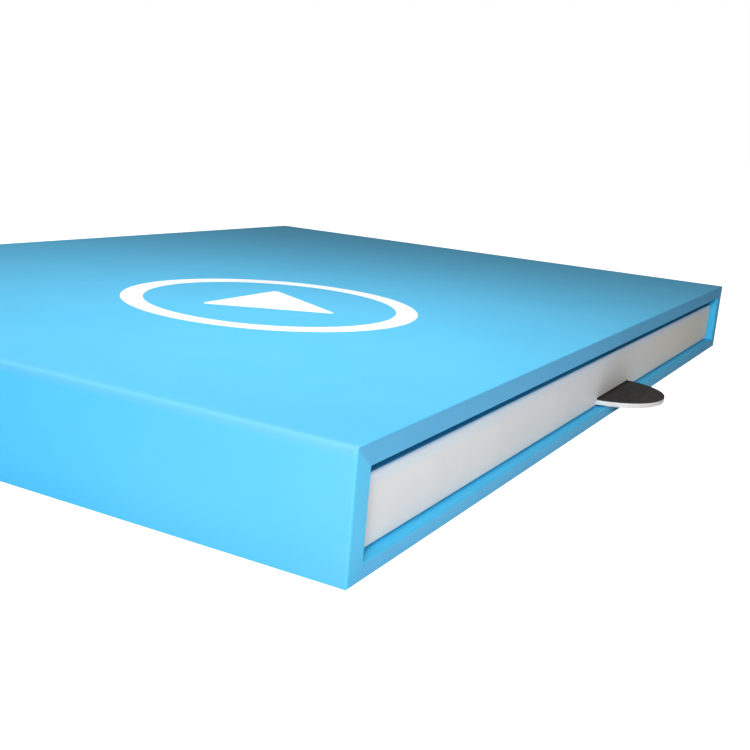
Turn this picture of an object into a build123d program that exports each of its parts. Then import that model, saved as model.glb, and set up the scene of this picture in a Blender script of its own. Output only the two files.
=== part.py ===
"""LCD video brochure, drawer type: a paper-wrapped sleeve and a tray that slides out of its mouth.

Millimetres, +Z up. X runs along the mouth, and the mouth faces -Y.
The origin is the centre of the sleeve's underside.
A reader holds it with +X at the top of the page and -Y, the mouth, on the right.
"""

import os

from build123d import *

os.makedirs("parts", exist_ok=True)

# ---------------------------------------------------------------- driving dimensions

# sleeve, sized to take a tray of the A5 page format
SLEEVE_LENGTH = 218.0
SLEEVE_DEPTH = 154.0
SLEEVE_HEIGHT = 18.0
BASE_SHEET = 0.12
BASE_SHEET_INSET = 3.0
SLEEVE_PAPER = 0.25
LINER_PAPER = 0.25
TOP_BOARD = 2.8
SIDE_BOARD = 3.5
BACK_BOARD = 2.2
BOTTOM_BOARD = 1.8
SLEEVE_TURN_IN = 15.0
SLEEVE_EDGE_RADIUS = 0.4

# tray
TRAY_LENGTH = 208.6
TRAY_WIDTH = 148.0
TRAY_HEIGHT = 10.0
TRAY_RECESS = 1.8
TRAY_CLEARANCE = 0.1
TRAY_BASE_SHEET = 0.2
TRAY_BASE_SHEET_INSET = 2.5
TRAY_PAPER = 0.15
TRAY_WALL = 2.0
TRAY_BASE = 1.5
TRAY_TURN_IN = 3.0
RIM_RADIUS = 0.35
DECK_DROP = 1.0
DECK_CARD = 0.8
DECK_GAP = 0.1

# pull tab: a disc that shows its outer half-moon in front of the tray
TAB_X = 8.2
TAB_RADIUS = 12.0
TAB_REACH = 10.7
TAB_CARD = 0.95
TAB_FACING = 0.15
TAB_TONGUE = 28.0
TAB_SLOT_GAP = 0.1
TAB_SLOT_RISE = 0.35

# display module, lying across the page in its upper half
LCD_X = 38.0
LCD_HEIGHT = 75.8
LCD_WIDTH = 120.7
LCD_THICKNESS = 2.95
LCD_SKIN = 0.3
LCD_GLASS = 1.05
LCD_OPENING_HEIGHT = 66.4
LCD_OPENING_WIDTH = 109.6
WINDOW_HEIGHT = 69.0
WINDOW_WIDTH = 112.0
WINDOW_THICKNESS = 0.7
WINDOW_GAP = 0.2
POCKET_GAP = 0.3

# main board, along the page's foot
BOARD_X = -86.5
BOARD_HEIGHT = 30.0
BOARD_WIDTH = 110.0
BOARD_THICKNESS = 1.0
BOARD_LIFT = 0.85

# buttons in a row across the page
BUTTON_NAMES = ["volume_down", "previous", "play", "next", "volume_up"]
BUTTON_X = -87.0
BUTTON_PITCH = 20.0
BUTTON_RADIUS = 4.0
BUTTON_FLANGE_RADIUS = 5.2
BUTTON_FLANGE = 0.7
BUTTON_STAND = 0.45
BUTTON_HOLE_GAP = 0.25
BUTTON_REST_GAP = 0.05
BUTTON_STEM_RADIUS = 2.0
SWITCH_SIDE = 6.0
SWITCH_HEIGHT = 2.2
SWITCH_BORE_DEPTH = 1.4
PLUNGER_RADIUS = 1.7
PLUNGER_GAP = 0.1
PLUNGER_LENGTH = 1.4
PLUNGER_STAND = 0.5

# usb socket in the tray's left wall
USB_Y = 0.0
USB_WIDTH = 9.0
USB_HEIGHT = 3.2
USB_SKIN = 0.3
USB_DEPTH = 7.3
USB_SETBACK = 0.4
USB_CUTOUT_GAP = 0.3
USB_TONGUE_WIDTH = 6.6
USB_TONGUE_THICKNESS = 0.7
USB_TONGUE_SETBACK = 1.2

# battery
BATTERY_X = -43.0
BATTERY_HEIGHT = 50.0
BATTERY_WIDTH = 70.0
BATTERY_THICKNESS = 4.0
BATTERY_PAD = 0.2
LEAD_RADIUS = 0.5
LEAD_PITCH = 2.0
LEADS_Y = 22.0

# speaker
SPEAKER_X = -43.0
SPEAKER_Y = -53.0
SPEAKER_RADIUS = 14.0
SPEAKER_GASKET = 0.25
SPEAKER_GASKET_WIDTH = 2.0
SPEAKER_LEADS_Y = -48.0
GRILLE_HOLE_RADIUS = 0.7
GRILLE_RING_PITCH = 3.2
GRILLE_RINGS = 3

# reed switch over the sleeve's disc magnet
REED_X = -96.0
REED_Y = 38.0
REED_RADIUS = 1.1
REED_LENGTH = 14.0
MAGNET_RADIUS = 5.0
MAGNET_THICKNESS = 1.3

# flat ribbon from the display to the main board
RIBBON_Y = 45.0
RIBBON_WIDTH = 14.0
RIBBON_THICKNESS = 0.2
RIBBON_OVERLAP = 10.0

# ---------------------------------------------------------------- levels and places worked out

sleeve_half_length = SLEEVE_LENGTH / 2
mouth_y = -SLEEVE_DEPTH / 2
sleeve_board_z = BASE_SHEET + SLEEVE_PAPER
floor_board_top = sleeve_board_z + BOTTOM_BOARD
cavity_floor = floor_board_top + LINER_PAPER
roof_board_z = SLEEVE_HEIGHT - SLEEVE_PAPER - TOP_BOARD
cavity_roof = roof_board_z - LINER_PAPER
board_half_length = sleeve_half_length - SLEEVE_PAPER
board_front = mouth_y + SLEEVE_PAPER
board_back = -board_front
wall_inner_x = board_half_length - SIDE_BOARD
wall_inner_back = board_back - BACK_BOARD
cavity_half_length = wall_inner_x - LINER_PAPER
cavity_back = wall_inner_back - LINER_PAPER
turn_in_end = mouth_y + SLEEVE_TURN_IN

tray_half_length = TRAY_LENGTH / 2
tray_front = mouth_y + TRAY_RECESS
tray_back = tray_front + TRAY_WIDTH
tray_mid_y = (tray_front + tray_back) / 2
tray_sheet_foot = cavity_floor + TRAY_CLEARANCE
tray_floor = tray_sheet_foot + TRAY_BASE_SHEET
rim_top = tray_floor + TRAY_HEIGHT
core_half_length = tray_half_length - TRAY_PAPER
core_front = tray_front + TRAY_PAPER
core_back = tray_back - TRAY_PAPER
core_floor = tray_floor + TRAY_PAPER
core_top = rim_top - TRAY_PAPER
module_floor = core_floor + TRAY_BASE
tray_wall_x = core_half_length - TRAY_WALL
tray_wall_front = core_front + TRAY_WALL
tray_wall_back = core_back - TRAY_WALL
turn_in_foot = rim_top - TRAY_TURN_IN
deck_top = rim_top - DECK_DROP
deck_foot = deck_top - DECK_CARD
deck_length = 2 * (tray_wall_x - TRAY_PAPER - DECK_GAP)
deck_width = tray_wall_back - tray_wall_front - 2 * (TRAY_PAPER + DECK_GAP)

tab_y = tray_front - TAB_REACH + TAB_RADIUS
tab_top = core_floor + TAB_CARD + TAB_FACING
tab_slot_top = tab_top + TAB_SLOT_RISE

lcd_foot = deck_foot - LCD_THICKNESS
board_foot = module_floor + BOARD_LIFT
board_top = board_foot + BOARD_THICKNESS
board_right = BOARD_X + BOARD_HEIGHT / 2

button_top = deck_top + BUTTON_STAND
flange_top = deck_foot - BUTTON_REST_GAP
flange_foot = flange_top - BUTTON_FLANGE
plunger_top = board_top + SWITCH_HEIGHT + PLUNGER_STAND

usb_mouth = -tray_half_length + USB_SETBACK
usb_z = board_top + USB_HEIGHT / 2
connector_x = board_right - 3.0
battery_left = BATTERY_X - BATTERY_HEIGHT / 2
lead_z = board_top + 0.9


def level(height):
    """The plane at a height whose origin is over the middle of the tray."""
    return Plane(origin=(0, tray_mid_y, height))


def span_box(x_span, y_span, z_span, mode=Mode.ADD):
    """A box between two corners, added to or cut from the part being built."""
    spans = (x_span, y_span, z_span)
    with Locations(tuple((low + high) / 2 for low, high in spans)):
        Box(*(high - low for low, high in spans), mode=mode)


def both_ways(half):
    """The span from -half to +half."""
    return (-half, half)


def save(builder, name):
    """Label a finished piece and write its STEP file."""
    builder.part.label = name
    export_step(builder.part, f"parts/{name}.step")


# ---------------------------------------------------------------- sleeve boards

with BuildPart() as sleeve_bottom_board:
    span_box(both_ways(board_half_length), (board_front, board_back), (sleeve_board_z, floor_board_top))
    with BuildSketch(level(floor_board_top)):
        with Locations((REED_X, REED_Y)):
            Circle(MAGNET_RADIUS)
    extrude(amount=-MAGNET_THICKNESS, mode=Mode.SUBTRACT)
save(sleeve_bottom_board, "sleeve_bottom_board")

with BuildPart() as sleeve_top_board:
    roof_span = (roof_board_z, roof_board_z + TOP_BOARD)
    span_box(both_ways(board_half_length), (board_front, board_back), roof_span)
save(sleeve_top_board, "sleeve_top_board")

wall_z_span = (floor_board_top, roof_board_z)
for name, side in (("sleeve_left_board", -1), ("sleeve_right_board", 1)):
    wall_x_span = sorted((side * wall_inner_x, side * board_half_length))
    with BuildPart() as sleeve_side_board:
        span_box(wall_x_span, (board_front, board_back), wall_z_span)
    save(sleeve_side_board, name)

with BuildPart() as sleeve_back_board:
    span_box(both_ways(wall_inner_x), (wall_inner_back, board_back), wall_z_span)
save(sleeve_back_board, "sleeve_back_board")

# ---------------------------------------------------------------- sleeve papers

# The printed paper covers every outer face, folds over the mouth's edges and turns in along the cavity.
with BuildPart() as sleeve_wrap:
    span_box(both_ways(sleeve_half_length), both_ways(-mouth_y), (BASE_SHEET, SLEEVE_HEIGHT))
    fillet(sleeve_wrap.edges(), SLEEVE_EDGE_RADIUS)
    span_box(
        both_ways(board_half_length),
        (board_front, board_back),
        (sleeve_board_z, roof_board_z + TOP_BOARD),
        mode=Mode.SUBTRACT,
    )
    span_box(both_ways(wall_inner_x), (board_front, turn_in_end), wall_z_span)
    span_box(
        both_ways(cavity_half_length),
        (mouth_y, turn_in_end),
        (cavity_floor, cavity_roof),
        mode=Mode.SUBTRACT,
    )
save(sleeve_wrap, "sleeve_wrap")

with BuildPart() as sleeve_liner:
    span_box(both_ways(wall_inner_x), (turn_in_end, wall_inner_back), wall_z_span)
    span_box(
        both_ways(cavity_half_length),
        (turn_in_end, cavity_back),
        (cavity_floor, cavity_roof),
        mode=Mode.SUBTRACT,
    )
save(sleeve_liner, "sleeve_liner")

# A plain sheet pasted over the wrap's joints is what the sleeve stands on.
with BuildPart() as sleeve_base_sheet:
    with BuildSketch():
        Rectangle(SLEEVE_LENGTH - 2 * BASE_SHEET_INSET, SLEEVE_DEPTH - 2 * BASE_SHEET_INSET)
    extrude(amount=BASE_SHEET)
save(sleeve_base_sheet, "sleeve_base_sheet")

with BuildPart() as sleeve_magnet:
    with BuildSketch(level(floor_board_top)):
        with Locations((REED_X, REED_Y)):
            Circle(MAGNET_RADIUS)
    extrude(amount=-MAGNET_THICKNESS)
save(sleeve_magnet, "sleeve_magnet")

# ---------------------------------------------------------------- tray boards

with BuildPart() as tray_base_board:
    span_box(both_ways(core_half_length), (core_front, core_back), (core_floor, module_floor))
    tongue_half = TAB_RADIUS + TAB_SLOT_GAP
    span_box(
        (TAB_X - tongue_half, TAB_X + tongue_half),
        (core_front, tab_y + TAB_TONGUE + TAB_SLOT_GAP),
        (core_floor, tab_slot_top),
        mode=Mode.SUBTRACT,
    )
save(tray_base_board, "tray_base_board")

# The walls' outer top edges are rounded off under the paper.
tray_wall_z = (module_floor, core_top)
with BuildPart() as tray_front_board:
    span_box(both_ways(core_half_length), (core_front, tray_wall_front), tray_wall_z)
    front_top = tray_front_board.faces().sort_by(Axis.Z)[-1]
    fillet(front_top.edges().sort_by(Axis.Y)[:-1], RIM_RADIUS)
save(tray_front_board, "tray_front_board")

with BuildPart() as tray_back_board:
    span_box(both_ways(core_half_length), (tray_wall_back, core_back), tray_wall_z)
    back_top = tray_back_board.faces().sort_by(Axis.Z)[-1]
    fillet(back_top.edges().sort_by(Axis.Y)[1:], RIM_RADIUS)
save(tray_back_board, "tray_back_board")

usb_cut_plane = Plane(origin=(-tray_half_length, tray_mid_y + USB_Y, usb_z), x_dir=(0, 1, 0), z_dir=(1, 0, 0))

with BuildPart() as tray_left_board:
    span_box((-core_half_length, -tray_wall_x), (tray_wall_front, tray_wall_back), tray_wall_z)
    left_top = tray_left_board.faces().sort_by(Axis.Z)[-1]
    fillet(left_top.edges().sort_by(Axis.X)[0], RIM_RADIUS)
    with BuildSketch(usb_cut_plane):
        SlotOverall(USB_WIDTH + 2 * USB_CUTOUT_GAP, USB_HEIGHT + 2 * USB_CUTOUT_GAP)
    extrude(amount=2 * TRAY_WALL, mode=Mode.SUBTRACT)
save(tray_left_board, "tray_left_board")

with BuildPart() as tray_right_board:
    span_box((tray_wall_x, core_half_length), (tray_wall_front, tray_wall_back), tray_wall_z)
    right_top = tray_right_board.faces().sort_by(Axis.Z)[-1]
    fillet(right_top.edges().sort_by(Axis.X)[-1], RIM_RADIUS)
save(tray_right_board, "tray_right_board")

# ---------------------------------------------------------------- tray paper

# The room taken up by the tray's boards and everything between them.
with BuildPart() as tray_core:
    span_box(both_ways(core_half_length), (core_front, core_back), (core_floor, core_top))
    fillet(tray_core.faces().sort_by(Axis.Z)[-1].edges(), RIM_RADIUS)

with BuildPart() as tray_wrap:
    span_box(both_ways(tray_half_length), (tray_front, tray_back), (tray_floor, rim_top))
    fillet(tray_wrap.faces().sort_by(Axis.Z)[-1].edges(), RIM_RADIUS + TRAY_PAPER)
    add(tray_core.part, mode=Mode.SUBTRACT)
    span_box(both_ways(tray_wall_x), (tray_wall_front, tray_wall_back), (turn_in_foot, core_top))
    span_box(
        both_ways(tray_wall_x - TRAY_PAPER),
        (tray_wall_front + TRAY_PAPER, tray_wall_back - TRAY_PAPER),
        (turn_in_foot, rim_top),
        mode=Mode.SUBTRACT,
    )
    span_box(
        (TAB_X - tongue_half, TAB_X + tongue_half),
        (tray_front, core_front),
        (core_floor, tab_slot_top),
        mode=Mode.SUBTRACT,
    )
    with BuildSketch(usb_cut_plane):
        SlotOverall(USB_WIDTH + 2 * USB_CUTOUT_GAP, USB_HEIGHT + 2 * USB_CUTOUT_GAP)
    extrude(amount=2 * TRAY_WALL, mode=Mode.SUBTRACT)
save(tray_wrap, "tray_wrap")

# A plain sheet pasted under the tray covers the paper's joints and is what the tray glides on.
with BuildPart() as tray_base_sheet:
    with BuildSketch(level(tray_sheet_foot)):
        Rectangle(TRAY_LENGTH - 2 * TRAY_BASE_SHEET_INSET, TRAY_WIDTH - 2 * TRAY_BASE_SHEET_INSET)
    extrude(amount=TRAY_BASE_SHEET)
save(tray_base_sheet, "tray_base_sheet")

# ---------------------------------------------------------------- pull tab

with BuildPart() as pull_tab_card:
    with BuildSketch(Plane.XY.offset(core_floor)):
        with Locations((TAB_X, tab_y)):
            Circle(TAB_RADIUS)
            Rectangle(2 * TAB_RADIUS, TAB_TONGUE, align=(Align.CENTER, Align.MIN))
    extrude(amount=TAB_CARD)
save(pull_tab_card, "pull_tab_card")

with BuildPart() as pull_tab_facing:
    with BuildSketch(Plane.XY.offset(core_floor + TAB_CARD)):
        with Locations((TAB_X, tab_y)):
            Circle(TAB_RADIUS)
            Rectangle(2 * TAB_RADIUS, TAB_RADIUS, align=(Align.CENTER, Align.MIN))
    extrude(amount=TAB_FACING)
save(pull_tab_facing, "pull_tab_facing")

# ---------------------------------------------------------------- foam filler and deck

with BuildPart() as filler_frame:
    with BuildSketch(level(module_floor)):
        Rectangle(deck_length, deck_width)
        with Locations((LCD_X, 0)):
            Rectangle(LCD_HEIGHT + 2 * POCKET_GAP, LCD_WIDTH + 2 * POCKET_GAP, mode=Mode.SUBTRACT)
        with Locations((BATTERY_X, 0)):
            Rectangle(BATTERY_HEIGHT + 2 * POCKET_GAP, BATTERY_WIDTH + 2 * POCKET_GAP, mode=Mode.SUBTRACT)
        with Locations((board_right + POCKET_GAP, 0)):
            Rectangle(
                deck_length,
                BOARD_WIDTH + 2 * POCKET_GAP,
                align=(Align.MAX, Align.CENTER),
                mode=Mode.SUBTRACT,
            )
        with Locations((SPEAKER_X, SPEAKER_Y)):
            Circle(SPEAKER_RADIUS + POCKET_GAP, mode=Mode.SUBTRACT)
        with Locations((board_right, RIBBON_Y)):
            Rectangle(
                LCD_X - board_right,
                RIBBON_WIDTH + 2 * POCKET_GAP,
                align=(Align.MIN, Align.CENTER),
                mode=Mode.SUBTRACT,
            )
        with Locations((board_right, LEADS_Y)):
            Rectangle(
                BATTERY_X - board_right,
                3 * LEAD_PITCH,
                align=(Align.MIN, Align.CENTER),
                mode=Mode.SUBTRACT,
            )
        with Locations((board_right, SPEAKER_LEADS_Y)):
            Rectangle(
                SPEAKER_X - board_right,
                3 * LEAD_PITCH,
                align=(Align.MIN, Align.CENTER),
                mode=Mode.SUBTRACT,
            )
    extrude(amount=deck_foot - module_floor)
save(filler_frame, "filler_frame")

with BuildPart() as deck_card:
    with BuildSketch(level(deck_foot)):
        Rectangle(deck_length, deck_width)
        with Locations((LCD_X, 0)):
            Rectangle(WINDOW_HEIGHT, WINDOW_WIDTH, mode=Mode.SUBTRACT)
        with Locations((BUTTON_X, 0)):
            with GridLocations(0, BUTTON_PITCH, 1, len(BUTTON_NAMES)):
                Circle(BUTTON_RADIUS + BUTTON_HOLE_GAP, mode=Mode.SUBTRACT)
        with Locations((SPEAKER_X, SPEAKER_Y)):
            Circle(GRILLE_HOLE_RADIUS, mode=Mode.SUBTRACT)
            for ring in range(1, GRILLE_RINGS + 1):
                with PolarLocations(ring * GRILLE_RING_PITCH, 6 * ring):
                    Circle(GRILLE_HOLE_RADIUS, mode=Mode.SUBTRACT)
    extrude(amount=DECK_CARD)
save(deck_card, "deck_card")

# ---------------------------------------------------------------- display

with BuildPart() as screen_window:
    with BuildSketch(level(deck_foot)):
        with Locations((LCD_X, 0)):
            Rectangle(WINDOW_HEIGHT - 2 * WINDOW_GAP, WINDOW_WIDTH - 2 * WINDOW_GAP)
    extrude(amount=WINDOW_THICKNESS)
save(screen_window, "screen_window")

panel_height = LCD_HEIGHT - 2 * LCD_SKIN
panel_width = LCD_WIDTH - 2 * LCD_SKIN
panel_foot = deck_foot - LCD_SKIN - LCD_GLASS

with BuildPart() as lcd_bezel_frame:
    with BuildSketch(level(lcd_foot)):
        with Locations((LCD_X, 0)):
            Rectangle(LCD_HEIGHT, LCD_WIDTH)
    extrude(amount=LCD_THICKNESS)
    with BuildSketch(level(lcd_foot + LCD_SKIN)):
        with Locations((LCD_X, 0)):
            Rectangle(panel_height, panel_width)
    extrude(amount=LCD_THICKNESS - 2 * LCD_SKIN, mode=Mode.SUBTRACT)
    with BuildSketch(level(deck_foot)):
        with Locations((LCD_X, 0)):
            Rectangle(LCD_OPENING_HEIGHT, LCD_OPENING_WIDTH)
    extrude(amount=-LCD_SKIN, mode=Mode.SUBTRACT)
save(lcd_bezel_frame, "lcd_bezel_frame")

with BuildPart() as lcd_panel:
    with BuildSketch(level(panel_foot)):
        with Locations((LCD_X, 0)):
            Rectangle(panel_height, panel_width)
    extrude(amount=LCD_GLASS)
save(lcd_panel, "lcd_panel")

with BuildPart() as lcd_backlight:
    with BuildSketch(level(lcd_foot + LCD_SKIN)):
        with Locations((LCD_X, 0)):
            Rectangle(panel_height, panel_width)
    extrude(amount=panel_foot - lcd_foot - LCD_SKIN)
save(lcd_backlight, "lcd_backlight")

ribbon_z = lcd_foot - RIBBON_THICKNESS
lcd_left = LCD_X - LCD_HEIGHT / 2

with BuildPart() as lcd_support_pad:
    with BuildSketch(level(module_floor)):
        with Locations((LCD_X, 0)):
            Rectangle(LCD_HEIGHT, LCD_WIDTH)
        with Locations((lcd_left, RIBBON_Y)):
            Rectangle(
                RIBBON_OVERLAP + POCKET_GAP,
                RIBBON_WIDTH + 2 * POCKET_GAP,
                align=(Align.MIN, Align.CENTER),
                mode=Mode.SUBTRACT,
            )
    extrude(amount=lcd_foot - module_floor)
save(lcd_support_pad, "lcd_support_pad")

with BuildPart() as lcd_ribbon:
    with BuildSketch(level(ribbon_z)):
        with Locations((connector_x, RIBBON_Y)):
            Rectangle(
                lcd_left + RIBBON_OVERLAP - connector_x,
                RIBBON_WIDTH,
                align=(Align.MIN, Align.CENTER),
            )
    extrude(amount=RIBBON_THICKNESS)
save(lcd_ribbon, "lcd_ribbon")

# ---------------------------------------------------------------- main board and what is soldered to it

with BuildPart() as main_board:
    with BuildSketch(level(board_foot)):
        with Locations((BOARD_X, 0)):
            RectangleRounded(BOARD_HEIGHT, BOARD_WIDTH, 1.5)
    extrude(amount=BOARD_THICKNESS)
save(main_board, "main_board")

with BuildPart() as board_pads:
    with BuildSketch(level(module_floor)):
        with Locations((BOARD_X, 0)):
            with GridLocations(0, 0.4 * BOARD_WIDTH, 1, 3):
                Rectangle(0.6 * BOARD_HEIGHT, 0.1 * BOARD_WIDTH)
    extrude(amount=BOARD_LIFT)
save(board_pads, "board_pads")

# name, centre on the tray plane, size along X, Y and Z
BOARD_BLOCKS = [
    ("video_chip", (-78.0, -12.0), (10.0, 10.0, 1.0)),
    ("memory_chip", (-78.0, -30.0), (8.0, 6.0, 0.9)),
    ("battery_connector", (connector_x, LEADS_Y), (5.0, 8.0, 2.2)),
    ("speaker_connector", (connector_x, SPEAKER_LEADS_Y), (5.0, 8.0, 2.2)),
]
for name, spot, block_size in BOARD_BLOCKS:
    with BuildPart() as board_block:
        with BuildSketch(level(board_top)):
            with Locations(spot):
                Rectangle(block_size[0], block_size[1])
        extrude(amount=block_size[2])
    save(board_block, name)

# The ribbon lies in a slot along the connector's foot.
with BuildPart() as ribbon_connector:
    with BuildSketch(level(board_top)):
        with Locations((connector_x, RIBBON_Y)):
            Rectangle(4.0, RIBBON_WIDTH + 2.0)
    extrude(amount=ribbon_z - board_top)
save(ribbon_connector, "ribbon_connector")

with BuildPart() as passive_parts:
    with BuildSketch(level(board_top)):
        with Locations((-96.5, -25.0), (-96.5, 18.0), (-78.0, 3.0)):
            with GridLocations(2.4, 3.2, 2, 3):
                Rectangle(1.6, 0.8)
    extrude(amount=0.6)
save(passive_parts, "passive_parts")

with BuildPart() as tact_switch_bodies:
    with BuildSketch(level(board_top)):
        with Locations((BUTTON_X, 0)):
            with GridLocations(0, BUTTON_PITCH, 1, len(BUTTON_NAMES)):
                Rectangle(SWITCH_SIDE, SWITCH_SIDE)
    extrude(amount=SWITCH_HEIGHT)
    with BuildSketch(level(board_top + SWITCH_HEIGHT)):
        with Locations((BUTTON_X, 0)):
            with GridLocations(0, BUTTON_PITCH, 1, len(BUTTON_NAMES)):
                Circle(PLUNGER_RADIUS + PLUNGER_GAP)
    extrude(amount=-SWITCH_BORE_DEPTH, mode=Mode.SUBTRACT)
save(tact_switch_bodies, "tact_switch_bodies")

with BuildPart() as reed_switch:
    reed_end = (REED_X, tray_mid_y + REED_Y - REED_LENGTH / 2, board_top + REED_RADIUS)
    with BuildSketch(Plane(origin=reed_end, x_dir=(1, 0, 0), z_dir=(0, 1, 0))):
        Circle(REED_RADIUS)
    extrude(amount=REED_LENGTH)
    fillet(reed_switch.edges().filter_by(GeomType.CIRCLE), 0.6 * REED_RADIUS)
save(reed_switch, "reed_switch")

# ---------------------------------------------------------------- usb socket

usb_plane = Plane(origin=(usb_mouth, tray_mid_y + USB_Y, usb_z), x_dir=(0, 1, 0), z_dir=(1, 0, 0))

with BuildPart() as usb_shell:
    with BuildSketch(usb_plane):
        SlotOverall(USB_WIDTH, USB_HEIGHT)
    extrude(amount=USB_DEPTH)
    with BuildSketch(usb_plane):
        SlotOverall(USB_WIDTH - 2 * USB_SKIN, USB_HEIGHT - 2 * USB_SKIN)
    extrude(amount=USB_DEPTH - USB_SKIN, mode=Mode.SUBTRACT)
save(usb_shell, "usb_shell")

with BuildPart() as usb_tongue:
    with BuildSketch(usb_plane.offset(USB_TONGUE_SETBACK)):
        Rectangle(USB_TONGUE_WIDTH, USB_TONGUE_THICKNESS)
    extrude(amount=USB_DEPTH - USB_SKIN - USB_TONGUE_SETBACK)
save(usb_tongue, "usb_tongue")

# ---------------------------------------------------------------- battery

with BuildPart() as battery_pad:
    with BuildSketch(level(module_floor)):
        with Locations((BATTERY_X, 0)):
            Rectangle(0.8 * BATTERY_HEIGHT, 0.8 * BATTERY_WIDTH)
    extrude(amount=BATTERY_PAD)
save(battery_pad, "battery_pad")

with BuildPart() as battery_cell:
    with BuildSketch(level(module_floor + BATTERY_PAD)):
        with Locations((BATTERY_X, 0)):
            Rectangle(BATTERY_HEIGHT, BATTERY_WIDTH)
    extrude(amount=BATTERY_THICKNESS)
    fillet(battery_cell.edges().filter_by(Axis.Y), 0.25 * BATTERY_THICKNESS)
save(battery_cell, "battery_cell")

# ---------------------------------------------------------------- speaker

speaker_centre = (SPEAKER_X, tray_mid_y + SPEAKER_Y, 0)
speaker_plane = Plane(origin=speaker_centre, x_dir=(1, 0, 0), z_dir=(0, -1, 0))
speaker_axis = Axis(speaker_centre, (0, 0, 1))
speaker_rim = deck_foot - SPEAKER_GASKET
basket_foot = module_floor + 1.7
terminal_x = SPEAKER_X - SPEAKER_RADIUS

with BuildPart() as speaker_gasket:
    with BuildSketch(level(speaker_rim)):
        with Locations((SPEAKER_X, SPEAKER_Y)):
            Circle(SPEAKER_RADIUS)
            Circle(SPEAKER_RADIUS - SPEAKER_GASKET_WIDTH, mode=Mode.SUBTRACT)
    extrude(amount=SPEAKER_GASKET)
save(speaker_gasket, "speaker_gasket")

with BuildPart() as speaker_frame:
    with BuildSketch(speaker_plane):
        with BuildLine():
            Polyline(
                (0, basket_foot),
                (9.0, basket_foot),
                (12.0, speaker_rim - 0.6),
                (SPEAKER_RADIUS, speaker_rim - 0.6),
                (SPEAKER_RADIUS, speaker_rim),
                (11.6, speaker_rim),
                (11.6, speaker_rim - 0.8),
                (8.6, basket_foot + 0.6),
                (0, basket_foot + 0.6),
                close=True,
            )
        make_face()
    revolve(axis=speaker_axis)
    with BuildSketch(level(lead_z - 0.6)):
        with Locations((terminal_x, SPEAKER_LEADS_Y)):
            Rectangle(5.5, 3 * LEAD_PITCH, align=(Align.MIN, Align.CENTER))
    extrude(amount=1.2)
save(speaker_frame, "speaker_frame")

with BuildPart() as speaker_cone:
    with BuildSketch(speaker_plane):
        with BuildLine():
            Polyline(
                (0, speaker_rim - 1.2),
                (4.0, speaker_rim - 1.6),
                (11.6, speaker_rim - 0.5),
                (11.6, speaker_rim - 0.2),
                (4.0, speaker_rim - 1.3),
                (0, speaker_rim - 0.9),
                close=True,
            )
        make_face()
    revolve(axis=speaker_axis)
save(speaker_cone, "speaker_cone")

with BuildPart() as speaker_magnet:
    with BuildSketch(level(module_floor + BATTERY_PAD)):
        with Locations((SPEAKER_X, SPEAKER_Y)):
            Circle(7.0)
    extrude(until=Until.NEXT, target=speaker_frame.part)
save(speaker_magnet, "speaker_magnet")

# ---------------------------------------------------------------- leads

LEAD_RUNS = [
    ("battery_lead", LEADS_Y, battery_left),
    ("speaker_lead", SPEAKER_LEADS_Y, terminal_x),
]
for run_name, run_y, run_end in LEAD_RUNS:
    for colour, side in (("red", 1), ("black", -1)):
        lead_start = (connector_x + 2.5, tray_mid_y + run_y + side * LEAD_PITCH / 2, lead_z)
        with BuildPart() as lead:
            with BuildSketch(Plane(origin=lead_start, z_dir=(1, 0, 0))):
                Circle(LEAD_RADIUS)
            extrude(amount=run_end - lead_start[0])
        save(lead, f"{run_name}_{colour}")

# ---------------------------------------------------------------- buttons

for index, button in enumerate(BUTTON_NAMES):
    button_spot = (BUTTON_X, (len(BUTTON_NAMES) // 2 - index) * BUTTON_PITCH)
    with BuildPart() as button_cap:
        with BuildSketch(level(flange_top)):
            with Locations(button_spot):
                Circle(BUTTON_RADIUS)
        extrude(amount=button_top - flange_top)
        fillet(button_cap.edges().sort_by(Axis.Z)[-1], 0.3)
        with BuildSketch(level(flange_foot)):
            with Locations(button_spot):
                Circle(BUTTON_FLANGE_RADIUS)
        extrude(amount=BUTTON_FLANGE)
        with BuildSketch(level(plunger_top)):
            with Locations(button_spot):
                Circle(BUTTON_STEM_RADIUS)
        extrude(amount=flange_foot - plunger_top)
    save(button_cap, f"{button}_button")

    with BuildPart() as plunger:
        with BuildSketch(level(plunger_top)):
            with Locations(button_spot):
                Circle(PLUNGER_RADIUS)
        extrude(amount=-PLUNGER_LENGTH)
    save(plunger, f"{button}_plunger")
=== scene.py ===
"""Video brochure in a blue paper-wrapped sleeve, with a white tray that slides out of its mouth.

Metres, +Z up, the mouth faces -Y and runs along X. A reader has +X at the top of the page.
"""

from math import radians

import bmesh
import bpy
from mathutils import Matrix, Quaternion, Vector


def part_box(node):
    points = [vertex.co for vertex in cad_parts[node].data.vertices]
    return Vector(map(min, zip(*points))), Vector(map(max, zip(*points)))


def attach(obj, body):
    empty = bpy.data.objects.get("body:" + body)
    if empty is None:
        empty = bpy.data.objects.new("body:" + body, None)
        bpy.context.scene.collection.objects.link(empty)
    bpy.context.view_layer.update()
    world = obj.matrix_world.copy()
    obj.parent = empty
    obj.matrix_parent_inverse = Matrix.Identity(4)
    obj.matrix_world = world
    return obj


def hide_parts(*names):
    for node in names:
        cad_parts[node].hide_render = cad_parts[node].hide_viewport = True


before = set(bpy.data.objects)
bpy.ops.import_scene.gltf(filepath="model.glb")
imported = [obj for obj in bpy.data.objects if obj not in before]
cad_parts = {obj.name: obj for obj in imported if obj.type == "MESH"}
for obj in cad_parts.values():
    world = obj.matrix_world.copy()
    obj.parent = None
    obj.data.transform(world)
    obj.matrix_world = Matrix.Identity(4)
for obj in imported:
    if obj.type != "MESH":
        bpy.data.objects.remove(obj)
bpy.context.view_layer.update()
MM = 0.001

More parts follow.
